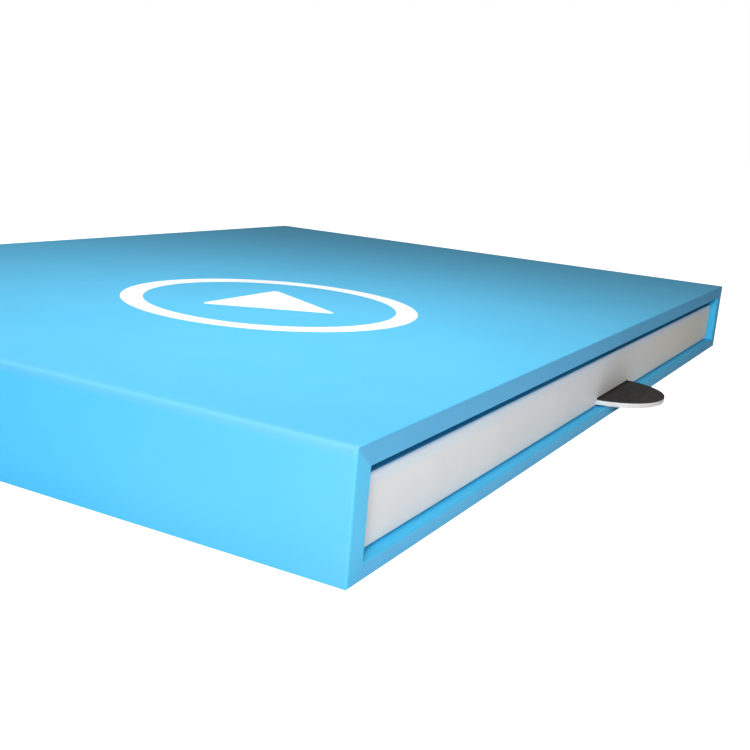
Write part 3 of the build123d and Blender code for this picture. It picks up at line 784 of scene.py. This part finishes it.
def start_tongue(name, low, high):
    """A flat disc across the low side of a box, drawn on as a straight tongue to the box's far end."""
    radius = (high.x - low.x) / 2
    middle = Vector(((low.x + high.x) / 2, low.y + radius, low.z))
    tongue = start_disc(name, middle, radius, TAB_SIDES)
    bpy.ops.object.mode_set(mode="EDIT")
    bpy.ops.mesh.select_all(action="SELECT")
    bpy.ops.mesh.bisect(plane_co=middle, plane_no=(0, 1, 0), clear_outer=True)
    bpy.ops.mesh.select_mode(type="EDGE")
    bpy.ops.mesh.select_all(action="DESELECT")
    shape = bmesh.from_edit_mesh(tongue.data)
    for edge in shape.edges:
        edge.select_set(all(corner.co.y > middle.y - SAME_PLACE for corner in edge.verts))
    bmesh.update_edit_mesh(tongue.data)
    bpy.ops.mesh.extrude_region_move(TRANSFORM_OT_translate={"value": (0, high.y - middle.y, 0)})
    bpy.ops.object.mode_set(mode="OBJECT")
    thicken(tongue, high.z - low.z)
    return tongue


def level_edge(height):
    """A share that rounds only the edges lying at one height."""
    return lambda middle, direction: abs(middle.z - height) < SAME_PLACE and abs(direction.z) < 0.1


tab_card = start_tongue("pull_tab_white_card", card_low, card_high)
soften(tab_card, CARD_BURR, level_edge(card_low.z), segments=2)
smooth(tab_card)

facing_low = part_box("pull_tab_facing")[0]
tab_facing = start_tongue("pull_tab_dark_facing", facing_low, facing_high)
soften(tab_facing, FACING_BURR, level_edge(facing_high.z), segments=2)
smooth(tab_facing)

# Punched card: white, with the faint level layers of its plies showing along the cut edge.
PLY = 0.16 * MM
PLY_FLATNESS = 12
white_card, tree, shader = new_material("punched_white_card", IOR=1.45)
place, pulp = grainy_skin(tree, shader, "E9E8E6", "F3F2F0", 5.0, 0.3, 0.01, 0.6, 0.75)
flatten = add_node(tree, "ShaderNodeMapping", {"Scale": (1, 1, PLY_FLATNESS)}, [("Vector", place, "Object")])
plies = add_node(
    tree,
    "ShaderNodeTexNoise",
    {"Scale": 1 / (PLY_FLATNESS * PLY), "Detail": 2.0},
    [("Vector", flatten, "Vector")],
)
ply_shade = add_node(
    tree,
    "ShaderNodeMapRange",
    {"From Min": 0.4, "From Max": 0.6, "To Min": 0.0, "To Max": 0.5},
    [("Value", plies, "Fac")],
)
plied = add_node(
    tree,
    "ShaderNodeMix",
    {"data_type": "RGBA", SECOND: linear("C9C8C6")},
    [(SHARE, ply_shade, "Result"), (FIRST, pulp, "Color")],
)
tree.links.new(plied.outputs[MIXED], shader.inputs["Base Color"])
dress(tab_card, white_card)
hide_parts("pull_tab_card")
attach(tab_card, "tray")

# Dyed leatherette paper: a dull warm black, mottled a shade lighter where fingers have polished its grain.
dark_facing_paper, tree, shader = new_material("brown_black_leatherette_paper", IOR=1.45)
grainy_skin(tree, shader, "29221E", "38302B", 1.6, 0.35, 0.02, 0.55, 0.75)
dress(tab_facing, dark_facing_paper)
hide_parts("pull_tab_facing")
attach(tab_facing, "tray")


# ==================================================================== Foam filler and deck
# Black closed-cell foam fills the tray round the parts. Over it lies a black faced card, let in between
# the walls, die-cut for the screen and the buttons and punched with a round grille over the speaker.

DECK_BURR = 0.12 * MM
DECK_SHARP_ANGLE = radians(50)
GRILLE_HOLE = 0.7 * MM
GRILLE_PITCH = 3.2 * MM
GRILLE_RINGS = 3
BUTTON_HOLE_GAP = 0.25 * MM
BUTTON_CAP = 4.0 * MM
WINDOW_GAP = 0.2 * MM
KEYS = ["volume_down", "previous", "play", "next", "volume_up"]


def start_post(name, place, radius, height, sides):
    """A round post standing on a point, for shaping or for punching a hole."""
    bpy.ops.object.select_all(action="DESELECT")
    middle = Vector(place) + Vector((0, 0, height / 2))
    bpy.ops.mesh.primitive_cylinder_add(vertices=sides, radius=radius, depth=height, location=middle)
    post = bpy.context.object
    post.name = name
    bpy.ops.object.transform_apply(location=True, rotation=True, scale=True)
    return post


def copy_piece(piece, name, shift):
    """A copy with its own mesh, moved within that mesh."""
    twin = piece.copy()
    twin.data = piece.data.copy()
    twin.data.transform(Matrix.Translation(shift))
    twin.name = name
    twin.data.name = name
    bpy.context.scene.collection.objects.link(twin)
    return twin


def middle_of(node):
    """The middle of a CAD node's box."""
    low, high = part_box(node)
    return (low + high) / 2


deck_low, deck_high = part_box("deck_card")
deck_depth = deck_high.z - deck_low.z
punch_foot = deck_low.z - CUT_REACH
punch_height = deck_depth + 2 * CUT_REACH
window_low, window_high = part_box("screen_window")
window_gap = Vector((WINDOW_GAP, WINDOW_GAP, CUT_REACH))

deck = start_block("black_deck_card", deck_low, deck_high)
window_hole = start_block("window_hole", window_low - window_gap, window_high + window_gap)
key_places = [middle_of(f"{key}_button") for key in KEYS]
first_key = key_places[0]
key_hole = start_post(
    "key_hole", (first_key.x, first_key.y, punch_foot), BUTTON_CAP + BUTTON_HOLE_GAP, punch_height, 64
)
key_holes = [key_hole]
for key_place in key_places[1:]:
    key_holes.append(copy_piece(key_hole, "key_hole", key_place - first_key))
cut_out(deck, window_hole, weld("key_holes", key_holes))

speaker_place = middle_of("speaker_cone")
punch = start_post("punch", (speaker_place.x, speaker_place.y, punch_foot), GRILLE_HOLE, punch_height, 24)
punches = [punch]
for ring_number in range(1, GRILLE_RINGS + 1):
    for step in range(6 * ring_number):
        turn = Matrix.Rotation(radians(360 * step / (6 * ring_number)), 3, "Z")
        punches.append(copy_piece(punch, "punch", turn @ Vector((ring_number * GRILLE_PITCH, 0, 0))))
cut_out(deck, weld("grille_punches", punches))
crisp = deck.modifiers.new("pressed_edges", "BEVEL")
crisp.width = DECK_BURR
crisp.segments = 2
crisp.limit_method = "ANGLE"
crisp.angle_limit = DECK_SHARP_ANGLE
smooth(deck)

# Black wood-free paper over card: a soft charcoal with the fine grain of uncoated paper.
black_faced_card, tree, shader = new_material("black_faced_card", IOR=1.45)
grainy_skin(tree, shader, "1F1E1E", "242322", 8.0, 0.28, 0.012, 0.5, 0.66)
dress(deck, black_faced_card)
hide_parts("deck_card")
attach(deck, "tray")

# Closed-cell foam: matt charcoal with round cells half a millimetre across standing open on its cut faces.
FOAM_CELL = 0.6 * MM
CELL_DEPTH = 0.15 * MM
black_foam, tree, shader = new_material("closed_cell_foam", IOR=1.4)
place, _ = grainy_skin(tree, shader, "28282A", "323234", 4.0, 0.5, 0.05, 0.85, 0.95)
cells = add_node(tree, "ShaderNodeTexVoronoi", {"Scale": 1 / FOAM_CELL}, [("Vector", place, "Object")])
cell_relief = add_node(tree, "ShaderNodeBump", {"Distance": CELL_DEPTH}, [("Height", cells, "Distance")])
tree.links.new(cell_relief.outputs["Normal"], shader.inputs["Normal"])
dress_nodes(black_foam, "filler_frame", "lcd_support_pad", "speaker_gasket")


# ==================================================================== Display
# A clear acrylic window lies in the deck over a seven-tenths millimetre step: under it a folded black steel
# frame holds the dark glass of the liquid crystal panel, its white backlight and its amber ribbon.

WINDOW_EDGE = 0.15 * MM

window_pane = start_block("acrylic_screen_window", window_low, window_high)
soften(window_pane, WINDOW_EDGE, lambda middle, direction: 1.0, segments=3)
smooth(window_pane)

# Cast acrylic: water-clear and glossy, with hardly visible wipe marks.
clear_acrylic, tree, shader = new_material("cast_clear_acrylic", IOR=1.49, Transmission_Weight=1.0)
grainy_skin(tree, shader, "F2F6F8", "FAFCFD", 20.0, 6.0, 0.0002, 0.03, 0.036)
dress(window_pane, clear_acrylic)
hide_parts("screen_window")
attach(window_pane, "tray")

# Electro-coated thin steel: satin black with a faint rolled streak along its length.
black_steel, tree, shader = new_material("black_coated_steel", IOR=1.5)
grainy_skin(tree, shader, "0F0F10", "19191A", 5.0, 0.4, 0.004, 0.3, 0.45)
dress_nodes(black_steel, "lcd_bezel_frame", "speaker_frame")

# Polariser over glass: near-black with a blue cast, crossed by cell rows two tenths of a millimetre apart.
CELL_PITCH = 0.22 * MM
lcd_glass, tree, shader = new_material("unlit_lcd_glass", IOR=1.52, Coat_Weight=0.6)
place, _ = grainy_skin(tree, shader, "07080B", "0B0D12", 30.0, 3.0, 0.0001, 0.125, 0.135)
rows = add_node(
    tree,
    "ShaderNodeTexBrick",
    {
        "offset": 0.0,
        "squash": 1.0,
        "Scale": 1 / CELL_PITCH,
        "Mortar Size": 0.08,
        "Brick Width": 1.0,
        "Row Height": 1.0,
        "Color1": linear("0A0C10"),
        "Color2": linear("0D0F15"),
        "Mortar": linear("050506"),
    },
    [("Vector", place, "Object")],
)
tree.links.new(rows.outputs["Color"], shader.inputs["Base Color"])
dress_nodes(lcd_glass, "lcd_panel")

# The light guide's white reflector film: flat white with a fine dot relief.
white_film, tree, shader = new_material("white_reflector_film", IOR=1.5)
grainy_skin(tree, shader, "E4E5E8", "EFF0F2", 12.0, 0.5, 0.006, 0.35, 0.5)
dress_nodes(white_film, "lcd_backlight")

# Polyimide over copper tracks: satin amber, with the tracks as finer, darker lines along its length. A wave
# texture draws 3.18 bands for each unit of its scale.
TRACK_PITCH = 1.0 * MM
WAVE_BANDS = 3.18
amber_ribbon, tree, shader = new_material("polyimide_ribbon", IOR=1.6)
place, amber = grainy_skin(tree, shader, "B9741F", "C98228", 6.0, 0.4, 0.003, 0.25, 0.38)
tracks = add_node(
    tree,
    "ShaderNodeTexWave",
    {"bands_direction": "Y", "Scale": 1 / TRACK_PITCH / WAVE_BANDS},
    [("Vector", place, "Object")],
)
track_shade = add_node(
    tree,
    "ShaderNodeMapRange",
    {"From Min": 0.45, "From Max": 0.6, "To Min": 0.0, "To Max": 0.6},
    [("Value", tracks, "Fac")],
)
tracked = add_node(
    tree,
    "ShaderNodeMix",
    {"data_type": "RGBA", SECOND: linear("8A4B12")},
    [(SHARE, track_shade, "Result"), (FIRST, amber, "Color")],
)
tree.links.new(tracked.outputs[MIXED], shader.inputs["Base Color"])
dress_nodes(amber_ribbon, "lcd_ribbon")


# ==================================================================== Buttons
# Five moulded black caps stand through the deck, each with a flange under it and a stem on its switch's
# plunger. A white mark is pad-printed in the shallow dish of each: minus, back, play and pause, on, plus.

STEM = 2.0 * MM
FLANGE = 5.2 * MM
FLANGE_DEPTH = 0.7 * MM
FLANGE_CHAMFER = 0.1 * MM
CAP_ROUND = 0.3 * MM
REST_GAP = 0.05 * MM
DISH = 0.12 * MM
MARK_FILM = 0.03 * MM


def turn_piece(name, centre, outline, sides=72):
    """A round piece about an upright axis, drawn up ring by ring through (radius, height) pairs."""
    start_radius, start_height = outline[0]
    piece = start_disc(name, (centre.x, centre.y, start_height), start_radius, sides)
    bpy.ops.object.mode_set(mode="EDIT")
    bpy.ops.mesh.select_all(action="SELECT")
    for (radius, height), (next_radius, next_height) in zip(outline, outline[1:]):
        grow = next_radius / radius
        bpy.ops.mesh.extrude_region_move(TRANSFORM_OT_translate={"value": (0, 0, next_height - height)})
        bpy.ops.transform.resize(
            value=(grow, grow, 1), center_override=(centre.x, centre.y, next_height)
        )
    bpy.ops.mesh.select_all(action="SELECT")
    bpy.ops.mesh.normals_make_consistent(inside=False)
    bpy.ops.object.mode_set(mode="OBJECT")
    return piece


key_low, key_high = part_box(f"{KEYS[0]}_button")
flange_top = deck_low.z - REST_GAP
flange_foot = flange_top - FLANGE_DEPTH
cap_top = key_high.z
CAP_OUTLINE = [
    (STEM, key_low.z),
    (STEM, flange_foot),
    (FLANGE - FLANGE_CHAMFER, flange_foot),
    (FLANGE, flange_foot + FLANGE_CHAMFER),
    (FLANGE, flange_top - FLANGE_CHAMFER),
    (FLANGE - FLANGE_CHAMFER, flange_top),
    (BUTTON_CAP, flange_top),
    (BUTTON_CAP, cap_top - CAP_ROUND),
    (BUTTON_CAP - 0.04 * MM, cap_top - 0.15 * MM),
    (BUTTON_CAP - 0.15 * MM, cap_top - 0.04 * MM),
    (BUTTON_CAP - CAP_ROUND, cap_top),
    (BUTTON_CAP - 0.7 * MM, cap_top),
    (BUTTON_CAP - 1.1 * MM, cap_top - 0.6 * DISH),
    (BUTTON_CAP - 1.5 * MM, cap_top - DISH),
]

# Injection-moulded ABS: satin black with the even fine stipple of a spark-eroded mould.
black_abs, tree, shader = new_material("moulded_black_abs", IOR=1.54)
grainy_skin(tree, shader, "0F0F11", "151517", 5.0, 0.16, 0.008, 0.3, 0.45)

# Pad-printed ink: thin opaque white that lets a little of the stipple through.
white_pad_ink, tree, shader = new_material("white_pad_print_ink", IOR=1.5)
grainy_skin(tree, shader, "DADCDD", "EEF0F1", 1.0, 0.16, 0.004, 0.4, 0.55)

# Each mark: bars as (right, up, width, height) and arrows as (right, radius, side it points to), in mm.
MARKS = {
    "volume_down": ([(0.0, 0.0, 2.6, 0.5)], []),
    "previous": ([(-1.35, 0.0, 0.45, 2.0)], [(0.2, 1.15, -1)]),
    "play": ([(0.85, 0.0, 0.4, 1.8), (1.55, 0.0, 0.4, 1.8)], [(-0.75, 1.1, 1)]),
    "next": ([(1.35, 0.0, 0.45, 2.0)], [(-0.2, 1.15, 1)]),
    "volume_up": ([(0.0, 0.0, 2.6, 0.5), (0.0, 0.0, 0.5, 2.6)], []),
}

first_cap = turn_piece("key_cap", first_key, CAP_OUTLINE)
smooth(first_cap)
mark_foot = cap_top - DISH - 0.5 * MARK_FILM
for key, key_place in zip(KEYS, key_places):
    cap = copy_piece(first_cap, f"{key}_cap", key_place - first_key)
    dress(cap, black_abs)
    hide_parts(f"{key}_button")
    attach(cap, f"{key}_key")

    strokes = []
    bars, arrows = MARKS[key]
    for right, up, width, height in bars:
        bar_middle = Vector((key_place.x + up * MM, key_place.y - right * MM, mark_foot))
        bar_reach = Vector((height / 2, width / 2, 0)) * MM
        rise = Vector((0, 0, 1.5 * MARK_FILM))
        strokes.append(start_block("stroke", bar_middle - bar_reach, bar_middle + bar_reach + rise))
    for right, radius, side in arrows:
        arrow_middle = (key_place.x, key_place.y - right * MM, mark_foot)
        stroke = start_disc("stroke", arrow_middle, radius * MM, 3, turn=radians(180 if side > 0 else 0))
        thicken(stroke, 1.5 * MARK_FILM)
        strokes.append(stroke)
    mark = weld(f"{key}_mark", strokes)
    dress(mark, white_pad_ink)
    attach(mark, f"{key}_key")
bpy.data.objects.remove(first_cap)


# ==================================================================== Main board
# A green fibreglass board on foam tape along the page's foot, with a video chip, a memory chip, small
# resistors, five tact switches under the buttons and a reed switch over the sleeve's magnet.

# Solder mask over copper: glossy deep green, the tracks a lighter raised green a third of a millimetre wide.
COPPER_PITCH = 2.4 * MM
COPPER_RELIEF = 0.03 * MM
solder_mask, tree, shader = new_material("green_solder_mask", IOR=1.55)
place, mask_green = grainy_skin(tree, shader, "0E4A27", "125730", 6.0, 0.3, 0.003, 0.22, 0.34)
copper = add_node(
    tree,
    "ShaderNodeTexBrick",
    {
        "offset": 0.37,
        "Scale": 1 / COPPER_PITCH,
        "Mortar Size": 0.07,
        "Brick Width": 2.6,
        "Row Height": 0.5,
        "Color1": linear("000000"),
        "Color2": linear("000000"),
        "Mortar": linear("FFFFFF"),
    },
    [("Vector", place, "Object")],
)
tracked_mask = add_node(
    tree,
    "ShaderNodeMix",
    {"data_type": "RGBA", SECOND: linear("2B8450")},
    [(SHARE, copper, "Color"), (FIRST, mask_green, "Color")],
)
track_relief = add_node(tree, "ShaderNodeBump", {"Distance": COPPER_RELIEF}, [("Height", copper, "Color")])
tree.links.new(tracked_mask.outputs[MIXED], shader.inputs["Base Color"])
tree.links.new(track_relief.outputs["Normal"], shader.inputs["Normal"])
dress_nodes(solder_mask, "main_board")

# Epoxy moulding compound: dead matt black, finely stippled.
chip_epoxy, tree, shader = new_material("epoxy_chip_case", IOR=1.5)
grainy_skin(tree, shader, "131314", "1B1B1C", 2.0, 0.12, 0.01, 0.6, 0.75)
dress_nodes(chip_epoxy, "video_chip", "memory_chip", "tact_switch_bodies")

# Nylon connectors and plungers: waxy cream, a little translucent, smooth.
cream_nylon, tree, shader = new_material("moulded_cream_nylon", IOR=1.53, Subsurface_Weight=0.1)
shader.inputs["Subsurface Radius"].default_value = (0.5 * MM, 0.4 * MM, 0.3 * MM)
grainy_skin(tree, shader, "DDD6BF", "E8E1CC", 3.0, 0.3, 0.006, 0.4, 0.52)
dress_nodes(cream_nylon, "battery_connector", "speaker_connector", "ribbon_connector")
dress_nodes(cream_nylon, *(f"{key}_plunger" for key in KEYS))

# Ceramic resistors and capacitors: tan bodies with tinned silver ends at each 1.6 mm length.
chip_ceramic, tree, shader = new_material("tinned_chip_ceramic", IOR=1.6)
grainy_skin(tree, shader, "6E5A45", "9A8467", 1.1, 0.2, 0.008, 0.35, 0.5)
dress_nodes(chip_ceramic, "passive_parts")

# Soda glass of the reed switch: pale green and clear, with slight drawing ripples.
reed_glass, tree, shader = new_material("drawn_green_glass", IOR=1.52, Transmission_Weight=0.85)
grainy_skin(tree, shader, "A9C9B6", "C2DCCB", 3.0, 1.2, 0.006, 0.04, 0.1)
dress_nodes(reed_glass, "reed_switch")

# Tissue tape and foam tape: off-white, fibrous and dull.
white_tape, tree, shader = new_material("white_tissue_tape", IOR=1.45)
grainy_skin(tree, shader, "DCDACF", "EAE8DF", 2.0, 0.4, 0.02, 0.7, 0.85)
dress_nodes(white_tape, "board_pads", "battery_pad")


# ==================================================================== USB socket
# A small socket in the tray's left wall for charging and loading: a drawn steel shell round a black tongue
# that carries twelve gold contacts on each face.

CONTACT_PITCH = 0.5 * MM
CONTACT_WIDTH = 0.28 * MM
CONTACT_LENGTH = 3.2 * MM
CONTACT_FILM = 0.03 * MM
CONTACT_SETBACK = 0.5 * MM
CONTACTS_A_SIDE = 12

# Nickel on drawn stainless steel: bright, cool satin with faint drawing lines along the plug's way in.
DRAWN_PITCH = 0.08 * MM
DRAWN_RELIEF = 0.004 * MM
DRAWN_STRETCH = 0.05
socket_steel, tree, shader = new_material("drawn_nickel_steel", Metallic=1.0)
place, _ = grainy_skin(tree, shader, "B4B6B9", "C8CACC", 2.0, 0.2, 0.002, 0.24, 0.36)
lines = add_node(tree, "ShaderNodeMapping", {"Scale": (DRAWN_STRETCH, 1, 1)}, [("Vector", place, "Object")])
drawn = add_node(
    tree,
    "ShaderNodeTexNoise",
    {"Scale": 1 / DRAWN_PITCH, "Detail": 2.0},
    [("Vector", lines, "Vector")],
)
drawn_relief = add_node(tree, "ShaderNodeBump", {"Distance": DRAWN_RELIEF}, [("Height", drawn, "Fac")])
tree.links.new(drawn_relief.outputs["Normal"], shader.inputs["Normal"])
dress_nodes(socket_steel, "usb_shell")

# Glass-filled polymer: black with a slight glitter of fibres.
socket_polymer, tree, shader = new_material("glass_filled_polymer", IOR=1.6)
grainy_skin(tree, shader, "101011", "1A1A1B", 1.0, 0.12, 0.006, 0.35, 0.5)
dress_nodes(socket_polymer, "usb_tongue")

tongue_low, tongue_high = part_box("usb_tongue")
tongue_middle = (tongue_low.y + tongue_high.y) / 2
contact_start = Vector((tongue_low.x + CONTACT_SETBACK, tongue_middle, tongue_high.z - CONTACT_FILM))
contact_reach = Vector((CONTACT_LENGTH, CONTACT_WIDTH, 2 * CONTACT_FILM))
first_contact = start_block("contact", contact_start, contact_start + contact_reach)
soften(first_contact, 0.4 * CONTACT_FILM, lambda middle, direction: middle.z > tongue_high.z, segments=2)
drop = tongue_low.z - tongue_high.z
contacts = []
for count in range(CONTACTS_A_SIDE):
    across = (count - (CONTACTS_A_SIDE - 1) / 2) * CONTACT_PITCH - CONTACT_WIDTH / 2
    contacts.append(copy_piece(first_contact, "contact", Vector((0, across, 0))))
    contacts.append(copy_piece(first_contact, "contact", Vector((0, across, drop))))
bpy.data.objects.remove(first_contact)
usb_contacts = weld("usb_gold_contacts", contacts)

# Hard gold over nickel: rich satin yellow, wiped a little duller along the middle.
contact_gold, tree, shader = new_material("hard_gold_plate", Metallic=1.0)
grainy_skin(tree, shader, "D9A94A", "EBC063", 0.8, 0.1, 0.002, 0.2, 0.34)
dress(usb_contacts, contact_gold)
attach(usb_contacts, "tray")


# ==================================================================== Battery, speaker and leads
# A soft lithium pouch taped to the tray's floor, a thin round speaker on a foam gasket under the grille, and
# two pairs of plastic-covered leads that run straight to the board's connectors.

# Laminated aluminium foil: soft silver with shallow dents and a satin sheen.
pouch_foil, tree, shader = new_material("laminated_pouch_foil", Metallic=0.85)
grainy_skin(tree, shader, "BDBEC2", "CFD0D3", 8.0, 2.5, 0.05, 0.28, 0.42)
dress_nodes(pouch_foil, "battery_cell")

# Pressed black paper cone: matt, fibrous, ribbed by the felting screen.
cone_paper, tree, shader = new_material("pressed_black_paper", IOR=1.45)
grainy_skin(tree, shader, "141414", "1E1E1E", 2.0, 0.3, 0.03, 0.7, 0.85)
dress_nodes(cone_paper, "speaker_cone")

# Sintered ferrite in a zinc cup: dark grey satin metal with a granular face.
speaker_ferrite, tree, shader = new_material("zinc_plated_magnet_cup", Metallic=0.6)
grainy_skin(tree, shader, "6C6D70", "808286", 3.0, 0.2, 0.01, 0.35, 0.5)
dress_nodes(speaker_ferrite, "speaker_magnet")

# Vinyl insulation: smooth, softly glossy, the colour slightly uneven along the wire.
LEAD_VINYL = {"red": ("9E1512", "B31C17"), "black": ("0E0E0F", "161617")}
for colour, (deep, bright) in LEAD_VINYL.items():
    lead_vinyl, tree, shader = new_material(f"{colour}_vinyl_insulation", IOR=1.53)
    grainy_skin(tree, shader, deep, bright, 4.0, 0.4, 0.005, 0.28, 0.4)
    dress_nodes(lead_vinyl, f"battery_lead_{colour}", f"speaker_lead_{colour}")
